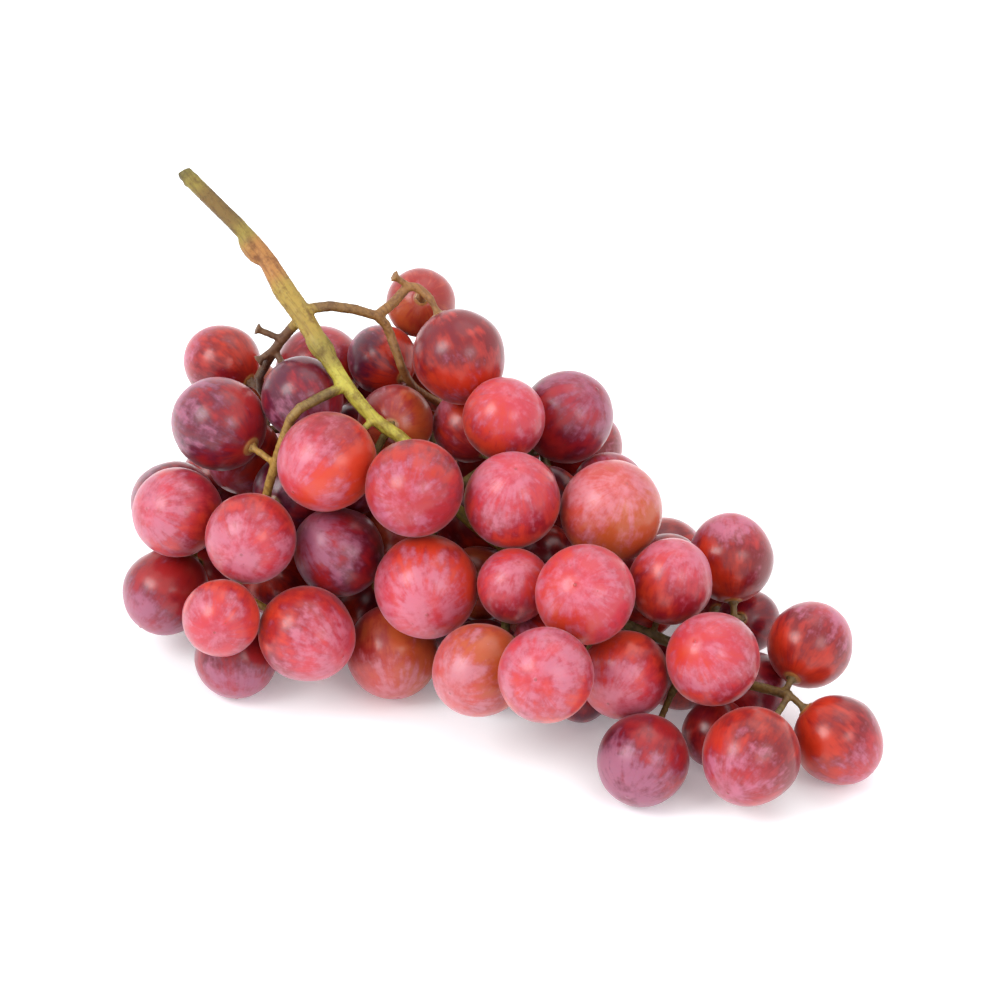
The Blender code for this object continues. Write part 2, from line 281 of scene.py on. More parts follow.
# Berries at the back and in the heart of the bunch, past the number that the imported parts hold.
# Each sits in a pocket between the others, mostly hidden from the front, on a clear line to the stem.
pocket = {
    "most": 28,
    "least": 6.4 * mm,  # the smallest and the largest half width
    "largest": 11.6 * mm,
    "step": 2.2 * mm,
    "hidden": 0.45,  # the share of it that the others cover from the front
    "gapReach": 30.0 * mm,  # how wide a gap between the others it may show in
    "lookRound": 12,  # the ways looked from each bare spot, and how many have to meet a berry
    "lookMet": 10,
    "touches": 2,  # how many neighbours it leans on at least, and how near that is
    "touchGap": 3.0 * mm,
    "touchWorth": 0.4 * mm,  # how much more size one more neighbour is worth
    "stalkLimit": -98.0 * mm,
    "gap": 0.3 * mm,
    "shortestStem": 2.0 * mm,
    "longestStem": 32.0 * mm,
    "stemRoom": 0.6 * mm,  # between its short stem's middle line and the other berries
    "rootsTried": slice(0, 6000, 30),  # every thirtieth of the nearest stem points
    "rootShare": 0.12,  # the first part of the line, inside the main stem
    "narrow": 0.97,  # its width as a share of its length
}
pocketSlots = ["berry_red", "berry_purple", "berry_red", "berry_amber", "berry_pink", "berry_red"]


def enclosed(spots, centres, reaches):
    # Whether each spot, seen from the viewer's side, has berries all round it.
    flat = np.array([viewerRight, viewerUp])
    apart = centres @ flat.T - (spots @ flat.T)[:, None]
    hits = np.zeros(len(spots))
    for turn in np.linspace(0, 2 * math.pi, pocket["lookRound"] + 1)[:-1]:
        way = np.array([math.cos(turn), math.sin(turn)])
        ahead = apart @ way
        aside = np.abs(apart @ np.array([-way[1], way[0]]))
        hits += ((aside < reaches) & (ahead > -reaches) & (ahead < pocket["gapReach"])).any(axis=1)
    return hits >= pocket["lookMet"]


def coveredShare(at, reach, centres, reaches):
    # How much of a berry's face the berries in front of it cover, from the viewer's side.
    # It is 0 if any of it would show outside the outline of the bunch.
    turns = np.linspace(0, 2 * math.pi, 9)[:-1]
    rings = [(ring * math.cos(turn), ring * math.sin(turn)) for ring in (0.5, 1.0) for turn in turns]
    rings = np.array([(0.0, 0.0)] + rings)
    spots = at + reach * (rings[:, :1] * np.array(viewerRight) + rings[:, 1:] * np.array(viewerUp))
    apart = centres[None] - spots[:, None]
    depth = apart @ np.array(towardsViewer)
    aside = np.linalg.norm(apart - depth[..., None] * np.array(towardsViewer), axis=2)
    covered = ((aside < reaches) & (depth > 0)).any(axis=1)
    bare = spots[~covered]
    if len(bare) and not enclosed(bare, centres, reaches).all():
        return 0.0
    return float(covered.mean())


def clearStem(at, reach, centres, reaches, stemPoints):
    # The nearest place on the stem that a straight short stem reaches without crossing a berry.
    lengths = np.linalg.norm(stemPoints - at, axis=1)
    for index in np.argsort(lengths)[pocket["rootsTried"]]:
        root, length = stemPoints[index], lengths[index]
        if length > reach + pocket["longestStem"]:
            return None
        if length < reach + pocket["shortestStem"]:
            continue
        steps = np.linspace(pocket["rootShare"], 1.0 - reach / length, 10)[:, None]
        line = root + (at - root) * steps
        room = np.linalg.norm(line[:, None] - centres[None], axis=2) - reaches
        if room.min() > pocket["stemRoom"]:
            return root
    return None


def findPockets():
    low, high = np.array(cadBox[0]), np.array(cadBox[1])
    low[0] = max(low[0], pocket["stalkLimit"])
    axes = [np.arange(low[i] + pocket["least"], high[i] - pocket["least"], pocket["step"]) for i in range(3)]
    spots = np.stack(np.meshgrid(*axes, indexing="ij"), -1).reshape(-1, 3)
    centres = np.array([place["centre"] for place in places.values()])
    reaches = np.array([max(place["reach"], place["half"]) for place in places.values()])
    stemPoints = pointsOf(stemNode.data)
    room = np.minimum(spots[:, 2], high[1] - spots[:, 1])
    for centre, reach in zip(centres, reaches):
        room = np.minimum(room, np.linalg.norm(spots - centre, axis=1) - reach - pocket["gap"])
    roomy = room >= pocket["least"]
    spots, room = spots[roomy], room[roomy]
    room = np.minimum(room, np.array([stemTree.find(spot)[2] for spot in spots]) - pocket["gap"])
    found = []
    while len(found) < pocket["most"]:
        kept = room >= pocket["least"]
        spots, room = spots[kept], room[kept]
        size = np.minimum(room, pocket["largest"])
        touching = np.zeros(len(spots))
        for centre, reach in zip(centres, reaches):
            touching += np.linalg.norm(spots - centre, axis=1) - reach - size < pocket["touchGap"]
        score = size + pocket["touchWorth"] * touching
        best = None
        for index in np.argsort(-score):
            at, reach, root = spots[index], size[index], None
            enough = touching[index] >= pocket["touches"]
            if enough and coveredShare(at, reach, centres, reaches) >= pocket["hidden"]:
                root = clearStem(at, reach, centres, reaches, stemPoints)
            if root is not None:
                best = index
                break
            room[index] = 0.0  # no berry fits here
        if best is None:
            break
        reach = float(reach)
        axis = (Vector(root) - Vector(at)).normalized()
        found.append({
            "centre": Vector(at),
            "axis": axis,
            "half": reach,
            "reach": reach * pocket["narrow"],
            "stemEnd": Vector(at) + axis * reach,
            "root": Vector(root),
        })
        room = np.minimum(room, np.linalg.norm(spots - at, axis=1) - reach - pocket["gap"])
        centres = np.vstack([centres, at])
        reaches = np.append(reaches, reach)
    return found


pocketNames = []
for count, found in enumerate(findPockets(), 1):
    pocketNames.append(f"inner_berry_{count}")
    places[pocketNames[-1]] = found
print("found pockets for", len(pocketNames), "more berries")


def pressOnNeighbours(name, piece):
    # A berry is flattened where a neighbour leans on it, at the plane half way between their skins.
    me = places[name]
    points = pointsOf(piece.data)
    for other, place in places.items():
        between = place["centre"] - me["centre"]
        room = between.length - me["reach"] - place["reach"]
        if other == name or room > 2 * berry["swell"] + berry["leansWithin"]:
            continue
        away = between.normalized()
        limit = me["reach"] + room / 2 - berry["pressGap"] / 2
        past = (points - np.array(me["centre"])) @ np.array(away) - limit
        points -= np.maximum(past, 0.0)[:, None] * np.array(away)
    points[:, 2] = np.maximum(points[:, 2], 0.0)  # and where it rests on the surface
    setPoints(piece.data, points)


def makeBerry(name, base, chance):
    place = places[name]
    piece = base.copy()
    piece.data = base.data.copy()
    piece.name = "grape_" + name
    bpy.context.scene.collection.objects.link(piece)
    piece.rotation_mode = "QUATERNION"
    spin = Matrix.Rotation(chance.uniform(0, 2 * math.pi), 3, "Z").to_quaternion()
    piece.rotation_quaternion = place["axis"].to_track_quat("Z", "Y") @ spin
    piece.location = place["centre"]
    wide = place["reach"] + berry["swell"]
    piece.scale = (wide, wide, place["half"] + berry["swell"])
    pick(piece)
    bpy.ops.object.transform_apply(location=True, rotation=True, scale=True)
    finishWith(piece, "DISPLACE", texture=lumps, texture_coords="LOCAL", strength=berry["lumpHeight"], mid_level=0.5)
    pressOnNeighbours(name, piece)
    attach(piece, "root")
    if name in frame["nodes"]:
        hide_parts(name)
    return piece


# How each grape's skin looks: ripe deepens the red, plum is the purple cast, bloom the pale wax,
# glow a painted glow of light shining through the orange flesh. The sides are as seen by someone who faces the bunch.
grapeLooks = {
    "shoulder_berry_1": {
        "ripe": 0.45, "plum": 0.8, "bloom": 0.8, "bloomSide": "left", "paintedGlow": 0.6, "paintedGlowSide": "right",
    },
    "shoulder_berry_2": {"ripe": 0.5, "plum": 0.8, "bloom": 0.7},
    "shoulder_berry_3": {"ripe": 0.6, "plum": 0.35, "bloom": 0.5, "bloomSide": "down", "paintedGlow": 0.4, "paintedGlowSide": "up"},
    "shoulder_berry_4": {"ripe": 0.6, "plum": 0.3, "bloom": 0.3, "paintedGlow": 0.5},
    "shoulder_berry_5": {"ripe": 0.4, "bloom": 0.35, "bloomSide": "left", "paintedGlow": 0.5, "paintedGlowSide": "up right"},
    "shoulder_berry_6": {
        "ripe": 0.4, "plum": 0.45, "bloom": 0.65, "bloomSide": "down", "paintedGlow": 0.3, "paintedGlowSide": "right",
    },
    "shoulder_berry_7": {
        "ripe": 0.5, "plum": 0.4, "bloom": 0.6, "bloomSide": "down left", "paintedGlow": 0.45, "paintedGlowSide": "up",
    },
    "shoulder_side_berry_1": {
        "ripe": 0.6, "plum": 0.45, "bloom": 0.6, "bloomSide": "left", "paintedGlow": 0.3, "paintedGlowSide": "down",
    },
    "shoulder_side_berry_2": {"ripe": 0.6, "plum": 0.7, "bloom": 0.5},
    "shoulder_side_berry_3": {
        "ripe": 0.4, "plum": 0.5, "bloom": 0.6, "bloomSide": "left", "paintedGlow": 0.8, "paintedGlowSide": "up right",
    },
    "back_shoulder_berry_1": {"ripe": 0.3, "bloom": 0.5, "bloomSide": "down left", "paintedGlow": 0.6, "paintedGlowSide": "up right"},
    "back_shoulder_berry_2": {"ripe": 0.2, "bloom": 0.1, "paintedGlow": 1.0},
    "back_shoulder_berry_3": {"ripe": 0.5, "bloom": 0.45, "bloomSide": "left", "paintedGlow": 0.4, "paintedGlowSide": "down"},
    "back_shoulder_berry_4": {"ripe": 0.7, "plum": 0.85, "bloom": 0.25, "bloomSide": "up"},
    "back_shoulder_berry_5": {
        "ripe": 0.6, "plum": 0.85, "bloom": 0.55, "bloomSide": "left", "paintedGlow": 0.3, "paintedGlowSide": "down right",
    },
    "back_shoulder_berry_6": {"ripe": 0.5, "plum": 0.2, "bloom": 0.45, "paintedGlow": 0.4},
    "top_fork_berry_1": {"ripe": 0.5, "plum": 0.9, "bloom": 0.3, "bloomSide": "left", "paintedGlow": 0.8, "paintedGlowSide": "right"},
    "top_fork_berry_2": {"ripe": 0.1, "bloom": 0.3, "paintedGlow": 0.8},
    "top_spur_berry_1": {
        "ripe": 0.55, "plum": 0.35, "bloom": 0.2, "bloomSide": "left", "paintedGlow": 0.7, "paintedGlowSide": "down",
    },
    "top_spur_berry_2": {"ripe": 0.35, "bloom": 0.4, "bloomSide": "up", "paintedGlow": 0.5, "paintedGlowSide": "down"},
    "rachis_berry_1": {"ripe": 0.3, "bloom": 0.5, "bloomSide": "up left", "paintedGlow": 0.8, "paintedGlowSide": "down right"},
    "rachis_berry_2": {"ripe": 0.2, "bloom": 0.35, "bloomSide": "left", "paintedGlow": 0.5, "paintedGlowSide": "up"},
    "rachis_berry_3": {
        "ripe": 0.3, "plum": 0.35, "bloom": 0.45, "bloomSide": "up", "paintedGlow": 0.7, "paintedGlowSide": "down right",
    },
    "rachis_berry_4": {
        "ripe": 0.45, "plum": 0.3, "bloom": 0.6, "bloomSide": "left", "paintedGlow": 0.3, "paintedGlowSide": "down right",
    },
    "rachis_berry_5": {"ripe": 0.05, "bloom": 0.35, "bloomSide": "down", "paintedGlow": 0.55, "paintedGlowSide": "left"},
    "rachis_berry_6": {"ripe": 0.4, "bloom": 0.5, "bloomSide": "down", "paintedGlow": 0.6, "paintedGlowSide": "up left"},
    "rachis_berry_7": {"ripe": 0.45, "bloom": 0.5, "bloomSide": "up right", "paintedGlow": 0.4, "paintedGlowSide": "left"},
    "rachis_berry_8": {"ripe": 0.25, "bloom": 0.5, "bloomSide": "down right", "paintedGlow": 0.5, "paintedGlowSide": "left"},
    "rachis_berry_9": {"ripe": 0.8, "plum": 0.2, "bloom": 0.1, "paintedGlow": 0.3},
    "rachis_berry_10": {"ripe": 0.8, "plum": 0.3, "bloom": 0.2, "paintedGlow": 0.2},
    "rachis_berry_11": {"ripe": 0.5, "bloom": 0.3, "bloomSide": "left", "paintedGlow": 0.5, "paintedGlowSide": "up"},
    "rachis_berry_12": {"ripe": 0.5, "bloom": 0.45, "bloomSide": "down right", "paintedGlow": 0.7, "paintedGlowSide": "left"},
    "rachis_berry_13": {
        "ripe": 0.4, "plum": 0.2, "bloom": 0.6, "bloomSide": "right", "paintedGlow": 0.6, "paintedGlowSide": "down left",
    },
    "centre_back_berry_1": {"ripe": 0.3, "bloom": 0.5, "bloomSide": "left", "paintedGlow": 0.4},
    "centre_back_berry_2": {"ripe": 0.15, "bloom": 0.3, "bloomSide": "down right", "paintedGlow": 0.6, "paintedGlowSide": "left"},
    "centre_back_berry_3": {
        "ripe": 0.5, "plum": 0.5, "bloom": 0.5, "bloomSide": "up right", "paintedGlow": 0.5, "paintedGlowSide": "down left",
    },
    "centre_back_berry_4": {"ripe": 0.45, "bloom": 0.4, "bloomSide": "right", "paintedGlow": 0.4, "paintedGlowSide": "left"},
    "centre_back_berry_5": {"ripe": 0.6, "plum": 0.7, "bloom": 0.4},
    "core_back_berry_1": {"ripe": 0.3, "bloom": 0.2, "paintedGlow": 0.8},
    "core_back_berry_2": {"ripe": 0.3, "bloom": 0.5, "paintedGlow": 0.4},
    "belly_berry_1": {"ripe": 0.5, "plum": 0.75, "bloom": 0.9, "bloomSide": "down left"},
    "belly_berry_2": {"ripe": 0.35, "bloom": 0.35, "bloomSide": "down", "paintedGlow": 0.75, "paintedGlowSide": "right"},
    "belly_berry_3": {
        "ripe": 0.45, "plum": 0.1, "bloom": 0.65, "bloomSide": "left", "paintedGlow": 0.6, "paintedGlowSide": "up right",
    },
    "belly_berry_4": {"ripe": 0.9, "plum": 0.4, "bloom": 0.1},
    "belly_berry_5": {"ripe": 0.5, "bloom": 0.2, "paintedGlow": 0.7},
    "keel_berry_1": {"ripe": 0.3, "plum": 0.4, "bloom": 0.5, "bloomSide": "left", "paintedGlow": 0.8, "paintedGlowSide": "up right"},
    "keel_berry_2": {"ripe": 0.8, "plum": 1.0, "bloom": 0.3, "bloomSide": "down"},
    "keel_berry_3": {"ripe": 0.3, "bloom": 0.4, "bloomSide": "down left", "paintedGlow": 0.4, "paintedGlowSide": "up"},
    "flank_berry_1": {"ripe": 0.1, "bloom": 0.5, "bloomSide": "left", "paintedGlow": 1.0, "paintedGlowSide": "down right"},
    "flank_berry_2": {"ripe": 0.55, "plum": 0.2, "bloom": 0.5, "paintedGlow": 0.3},
    "fore_berry_1": {"ripe": 0.5, "plum": 0.35, "bloom": 0.6, "bloomSide": "up", "paintedGlow": 0.5, "paintedGlowSide": "down"},
    "fore_berry_2": {"ripe": 0.7, "plum": 0.7, "bloom": 0.3},
    "tip_front_berry_1": {
        "ripe": 0.45, "plum": 0.8, "bloom": 0.75, "bloomSide": "down left", "paintedGlow": 0.6, "paintedGlowSide": "up right",
    },
    "tip_side_berry_1": {"ripe": 0.45, "bloom": 0.5, "bloomSide": "up", "paintedGlow": 0.6, "paintedGlowSide": "down left"},
    "tip_side_berry_2": {"ripe": 0.6, "plum": 0.3, "bloom": 0.4, "paintedGlow": 0.3},
}
restingLook = {"ripe": 0.5, "plum": 0.1, "bloom": 0.4, "paintedGlow": 0.3}

dress = {
    "plumKept": 0.35,  # how much of its look a grape keeps on its other side
    "bloomKept": 0.45,
    "waxRubbedOff": 0.6,  # where a neighbour is near
    # a painted glow of light through the flesh, where a neighbour is near
    "paintedNearGlow": 0.75,
    "faintestScar": 0.1,
    "scarSpread": 0.35,
    "allOver": 0.75,  # the share where no side is named
    "sideTowardsViewer": 0.15,  # how far a named side turns to the front
    "sideContrast": 0.62,
}

sides = {
    "left": -viewerRight, "right": viewerRight, "up": viewerUp, "down": -viewerUp,
    "up left": viewerUp - viewerRight, "up right": viewerUp + viewerRight,
    "down left": -viewerUp - viewerRight, "down right": viewerRight - viewerUp,
}


def sideShare(away, side):
    # 0 on the far side of the berry to 1 on the named side, or the same all over.
    if side is None:
        return np.full(len(away), dress["allOver"])
    toSide = np.array(sides[side].normalized() + towardsViewer * dress["sideTowardsViewer"])
    share = np.clip(0.5 + dress["sideContrast"] * (away @ toSide), 0.0, 1.0)
    return share * share * (3 - 2 * share)


def writeNumbers(mesh, name, numbers):
    mesh.attributes.new(name, "FLOAT", "POINT").data.foreach_set("value", np.asarray(numbers, np.float32))


def dressGrape(name, piece, own):
    # The numbers that the skin material reads at each point.
    look = {**restingLook, **grapeLooks.get(name, {})}
    points = pointsOf(piece.data)
    away = points - np.array(places[name]["centre"])
    away /= np.linalg.norm(away, axis=1)[:, None]
    near = np.zeros(len(points))
    for other, place in places.items():
        if other != name:
            gap = np.linalg.norm(points - np.array(place["centre"]), axis=1) - place["reach"]
            near = np.maximum(near, np.exp(-np.maximum(gap, 0.0) / berry["nearReach"]))
    bloomShare = sideShare(away, look.get("bloomSide"))
    writeNumbers(piece.data, "ripe", np.full(len(points), look["ripe"]))
    plumShare = dress["plumKept"] + (1 - dress["plumKept"]) * bloomShare
    waxShare = dress["bloomKept"] + (1 - dress["bloomKept"]) * bloomShare
    writeNumbers(piece.data, "plum", look["plum"] * plumShare)
    writeNumbers(piece.data, "bloom", look["bloom"] * waxShare * (1 - dress["waxRubbedOff"] * near))
    # A painted glow of light through the flesh, on the named side and where a neighbour is near.
    paintedGlowShare = sideShare(away, look.get("paintedGlowSide"))
    writeNumbers(piece.data, "paintedGlow", look["paintedGlow"] * paintedGlowShare + dress["paintedNearGlow"] * near)
    writeNumbers(piece.data, "own", np.full(len(points), own))
    scar = dress["faintestScar"] + (own * 7.3 % 1.0) * dress["scarSpread"]
    writeNumbers(piece.data, "scar", np.full(len(points), scar))


lumps = bpy.data.textures.new("lumps", "CLOUDS")
lumps.noise_scale = berry["lumpSize"]
bases = [modelBerry(name, *halves) for name, halves in berryShapes.items()]
chance = random.Random(7)
grapes = {name: makeBerry(name, chance.choice(bases), chance) for name in berryNames + pocketNames}
for base in bases:
    bpy.data.objects.remove(base)
for name, piece in grapes.items():
    dressGrape(name, piece, chance.uniform(0.0, 50.0))
print("grown", len(grapes), "grapes")


# Shader wiring. Each step takes the tree and returns the socket that it puts out.
def addNode(tree, kind, inputs=None, **settings):
    node = tree.nodes.new(kind)
    for setting, value in settings.items():
        setattr(node, setting, value)
    for socket, value in (inputs or {}).items():
        if isinstance(value, bpy.types.NodeSocket):
            tree.links.new(value, node.inputs[socket])
        else:
            node.inputs[socket].default_value = value
    return node


def maths(tree, operation, first, second=0.0, third=0.0, clamped=False):
    inputs = {0: first, 1: second, 2: third}
    return addNode(tree, "ShaderNodeMath", inputs, operation=operation, use_clamp=clamped).outputs[0]


def blend(tree, share, under, over):
    return addNode(tree, "ShaderNodeMix", {0: share, 6: under, 7: over}, data_type="RGBA").outputs[2]


def ramp(tree, value, low, high):
    inputs = {0: value, 1: low, 2: high, 3: 0.0, 4: 1.0}
    return addNode(tree, "ShaderNodeMapRange", inputs, interpolation_type="SMOOTHSTEP").outputs[0]


def cloud(tree, where, scale, detail=3.0, rough=0.6, own=None):
    inputs = {"Vector": where, "Scale": scale, "Detail": detail, "Roughness": rough}
    node = addNode(tree, "ShaderNodeTexNoise", inputs)
    if own is not None:
        node.noise_dimensions = "4D"
        tree.links.new(own, node.inputs["W"])
    return node.outputs["Fac"]


def readNumber(tree, name):
    return addNode(tree, "ShaderNodeAttribute", attribute_name=name).outputs["Fac"]


def startGroup(name, inputs, outputs):
    group = bpy.data.node_groups.new(name, "ShaderNodeTree")
    for title, kind in inputs.items():
        group.interface.new_socket(title, in_out="INPUT", socket_type=kind)
    for title, kind in outputs.items():
        group.interface.new_socket(title, in_out="OUTPUT", socket_type=kind)
    return group, group.nodes.new("NodeGroupInput").outputs, group.nodes.new("NodeGroupOutput").inputs


skin = {
    "patchScale": 135.0,  # patches per metre
    "mottleScale": 420.0,  # fine unevenness
    "poreScale": 2300.0,
    "veinScale": 6.5,  # veins in the turn round the berry
    "veinStretch": 0.35,
    "ripePatches": (5.0, -2.6),  # contrast and start of the patches in each layer
    "plumPatches": (1.6, -0.9),
    "paintedGlowPatches": (-3.2, 1.45),
    "waxPatches": (5.2, -2.5),
    "ripeAndShadeRootward": 0.8,  # how much darker, less waxed and more glowing the stem end is: darker from a riper skin and from painted shade deep in the bunch, glowing with painted light through the flesh
    "bloomRootward": -0.6,
    "paintedGlowRootward": 0.2,
    "plumRange": (0.1, 0.8),  # where each layer starts and is full
    "paintedGlowRange": (0.1, 1.0),
    "waxRange": (0.1, 1.0),
    "veinRange": (0.56, 0.72),
    "paintedGlowShare": 0.9,  # how dense each layer gets
    "veinShare": 0.35,
    "bloomShare": 0.62,
    "speckShare": 0.4,
    "seatShare": 0.8,
    "seatRange": (0.955, 0.985),  # heights in the berry, in its radii
    "scarRange": (-0.9955, -0.9985),
    "speckRange": (0.13, 0.05),
    "fewSpecks": 0.86,  # the share of cells with no speck
    "bump": 0.35,
    "bumpDepth": 0.25 * mm,
    "speckScale": 420.0,
    "speckColour": (0.16, 0.045, 0.02, 1.0),
    "seatColour": (0.34, 0.17, 0.05, 1.0),
    "scarColour": (0.09, 0.035, 0.015, 1.0),
}


def buildGrapeSkin():
    colours = {title: "NodeSocketColor" for title in ("PaintedGlowFlesh", "Skin", "Deep", "Plum", "Bloom")}
    results = {"Colour": "NodeSocketColor", "Roughness": "NodeSocketFloat", "Height": "NodeSocketFloat"}
    tree, given, put = startGroup("grapeSkin", colours, results)
    where = addNode(tree, "ShaderNodeTexCoord").outputs["Object"]
    own = readNumber(tree, "own")
    inBerry = addNode(tree, "ShaderNodeAttribute", attribute_name="inBerry").outputs["Vector"]
    parts = addNode(tree, "ShaderNodeSeparateXYZ", {0: inBerry}).outputs
    # Veins run from end to end: the turn round the berry counts for more than the height.
    squares = [maths(tree, "MULTIPLY", parts[axis], parts[axis]) for axis in (0, 1)]
    fromAxis = maths(tree, "MAXIMUM", maths(tree, "SQRT", maths(tree, "ADD", *squares)), 0.02)
    acrossX = maths(tree, "DIVIDE", parts[0], fromAxis)
    acrossY = maths(tree, "DIVIDE", parts[1], fromAxis)
    along = maths(tree, "MULTIPLY", parts[2], skin["veinStretch"])
    veinPlace = addNode(tree, "ShaderNodeCombineXYZ", {0: acrossX, 1: acrossY, 2: along}).outputs[0]
    veinCloud = maths(tree, "SUBTRACT", cloud(tree, veinPlace, skin["veinScale"], 3.0, 0.6, own), 0.5)
    veins = maths(tree, "MULTIPLY_ADD", veinCloud, ramp(tree, fromAxis, 0.15, 0.6), 0.5)
    rootward = ramp(tree, parts[2], -0.85, 0.4)  # from the outer side of the berry to its stem end
    patches = cloud(tree, where, skin["patchScale"], 3.0, 0.55)
    mottle = cloud(tree, where, skin["mottleScale"], 4.0, 0.62)
    pores = cloud(tree, where, skin["poreScale"], 2.0, 0.5)
    uneven = maths(tree, "ADD", maths(tree, "MULTIPLY", patches, 0.6), maths(tree, "MULTIPLY", veins, 0.4))

    # Darker towards the stem end, deep in the bunch: partly a riper skin, partly painted shade.
    ripe = maths(tree, "MULTIPLY_ADD", rootward, skin["ripeAndShadeRootward"], readNumber(tree, "ripe"))
    depth = maths(tree, "ADD", ripe, maths(tree, "MULTIPLY_ADD", uneven, *skin["ripePatches"]), clamped=True)
    colour = blend(tree, depth, given["Skin"], given["Deep"])
    plumPatches = maths(tree, "MULTIPLY_ADD", uneven, *skin["plumPatches"])
    plumAt = maths(tree, "ADD", readNumber(tree, "plum"), plumPatches)
    colour = blend(tree, ramp(tree, plumAt, *skin["plumRange"]), colour, given["Plum"])
    # A painted glow of light shining through the flesh: the flesh colour laid over the skin.
    paintedGlow = maths(tree, "MULTIPLY_ADD", rootward, skin["paintedGlowRootward"], readNumber(tree, "paintedGlow"))
    paintedGlowAt = maths(tree, "ADD", paintedGlow, maths(tree, "MULTIPLY_ADD", uneven, *skin["paintedGlowPatches"]))
    paintedGlowShare = maths(tree, "MULTIPLY", ramp(tree, paintedGlowAt, *skin["paintedGlowRange"]), skin["paintedGlowShare"])
    colour = blend(tree, paintedGlowShare, colour, given["PaintedGlowFlesh"])
    veinDark = maths(tree, "MULTIPLY", ramp(tree, veins, *skin["veinRange"]), skin["veinShare"])
    colour = blend(tree, veinDark, colour, given["Deep"])

    waxNoise = maths(tree, "ADD", maths(tree, "MULTIPLY", mottle, 0.25), maths(tree, "MULTIPLY", uneven, 0.75))
    bloom = maths(tree, "MULTIPLY_ADD", rootward, skin["bloomRootward"], readNumber(tree, "bloom"))
    waxAt = maths(tree, "ADD", bloom, maths(tree, "MULTIPLY_ADD", waxNoise, *skin["waxPatches"]))
    wax = maths(tree, "MULTIPLY", ramp(tree, waxAt, *skin["waxRange"]), skin["bloomShare"])
    colour = blend(tree, wax, colour, given["Bloom"])

    cells = addNode(tree, "ShaderNodeTexVoronoi", {"Vector": where, "Scale": skin["speckScale"]})
    cellShade = addNode(tree, "ShaderNodeSeparateColor", {0: cells.outputs["Color"]}).outputs[0]
    fewCells = maths(tree, "GREATER_THAN", cellShade, skin["fewSpecks"])
    speckAt = ramp(tree, cells.outputs["Distance"], *skin["speckRange"])
    speck = maths(tree, "MULTIPLY", speckAt, fewCells)
    colour = blend(tree, maths(tree, "MULTIPLY", speck, skin["speckShare"]), colour, skin["speckColour"])
    seat = ramp(tree, parts[2], *skin["seatRange"])
    colour = blend(tree, maths(tree, "MULTIPLY", seat, skin["seatShare"]), colour, skin["seatColour"])
    scar = maths(tree, "MULTIPLY", ramp(tree, parts[2], *skin["scarRange"]), readNumber(tree, "scar"))
    colour = blend(tree, scar, colour, skin["scarColour"])

    tree.links.new(colour, put["Colour"])
    tree.links.new(maths(tree, "MULTIPLY_ADD", wax, 0.25, 0.3), put["Roughness"])
    bumps = maths(tree, "MULTIPLY_ADD", pores, 0.25, maths(tree, "MULTIPLY", mottle, 0.6))
    tree.links.new(maths(tree, "MULTIPLY_ADD", speck, 0.5, bumps), put["Height"])
    return tree


# Colours for each slot; Flesh is the colour of the painted glow of light through the flesh.
grapeColours = {
    "berry_red": {
        "PaintedGlowFlesh": (0.46, 0.026, 0.006),
        "Skin": (0.38, 0.022, 0.034),
        "Deep": (0.17, 0.004, 0.009),
        "Plum": (0.090, 0.005, 0.024),
        "Bloom": (0.57, 0.165, 0.265),
    },
    "berry_pink": {
        "PaintedGlowFlesh": (0.54, 0.042, 0.012),
        "Skin": (0.47, 0.034, 0.056),
        "Deep": (0.26, 0.007, 0.017),
        "Plum": (0.120, 0.009, 0.032),
        "Bloom": (0.60, 0.180, 0.260),
    },
    "berry_purple": {
        "PaintedGlowFlesh": (0.33, 0.013, 0.013),
        "Skin": (0.30, 0.014, 0.034),
        "Deep": (0.14, 0.003, 0.014),
        "Plum": (0.085, 0.004, 0.022),
        "Bloom": (0.42, 0.130, 0.215),
    },
    "berry_amber": {
        "PaintedGlowFlesh": (0.42, 0.078, 0.018),
        "Skin": (0.46, 0.052, 0.046),
        "Deep": (0.29, 0.018, 0.015),
        "Plum": (0.160, 0.018, 0.034),
        "Bloom": (0.60, 0.220, 0.270),
    },
}
grapeFinish = {
    "Subsurface Weight": 0.25,
    "Subsurface Scale": 3.0 * mm,
    "Subsurface Radius": (1.0, 0.14, 0.06),
    "IOR": 1.42,
    "Coat Weight": 0.25,
    "Coat Roughness": 0.25,
    "Sheen Weight": 0.25,
    "Sheen Roughness": 0.3,
    "Sheen Tint": (1.0, 0.75, 0.84, 1.0),
}


def grapeMaterial(slot, skinGroup):
    material = bpy.data.materials.new("grapeSkin_" + slot)
    material.use_nodes = True
    tree = material.node_tree
    shader = tree.nodes["Principled BSDF"]
    surface = addNode(tree, "ShaderNodeGroup", node_tree=skinGroup)
    for title, colour in grapeColours[slot].items():
        surface.inputs[title].default_value = (*colour, 1.0)
    for socket, value in grapeFinish.items():
        shader.inputs[socket].default_value = value
    bumpInputs = {"Strength": skin["bump"], "Distance": skin["bumpDepth"], "Height": surface.outputs["Height"]}
    bump = addNode(tree, "ShaderNodeBump", bumpInputs)
    tree.links.new(surface.outputs["Colour"], shader.inputs["Base Color"])
    tree.links.new(surface.outputs["Roughness"], shader.inputs["Roughness"])
    tree.links.new(bump.outputs[0], shader.inputs["Normal"])
    return material


slotOf = {part["node"]: part["material_slot"] for part in frame["record"]["subparts"]}
slotOf.update({name: pocketSlots[index % len(pocketSlots)] for index, name in enumerate(pocketNames)})
skinGroup = buildGrapeSkin()
grapeMaterials = {slot: grapeMaterial(slot, skinGroup) for slot in grapeColours}
for name, piece in grapes.items():
    piece.data.materials.clear()
    piece.data.materials.append(grapeMaterials[slotOf[name]])
print("skinned the grapes")

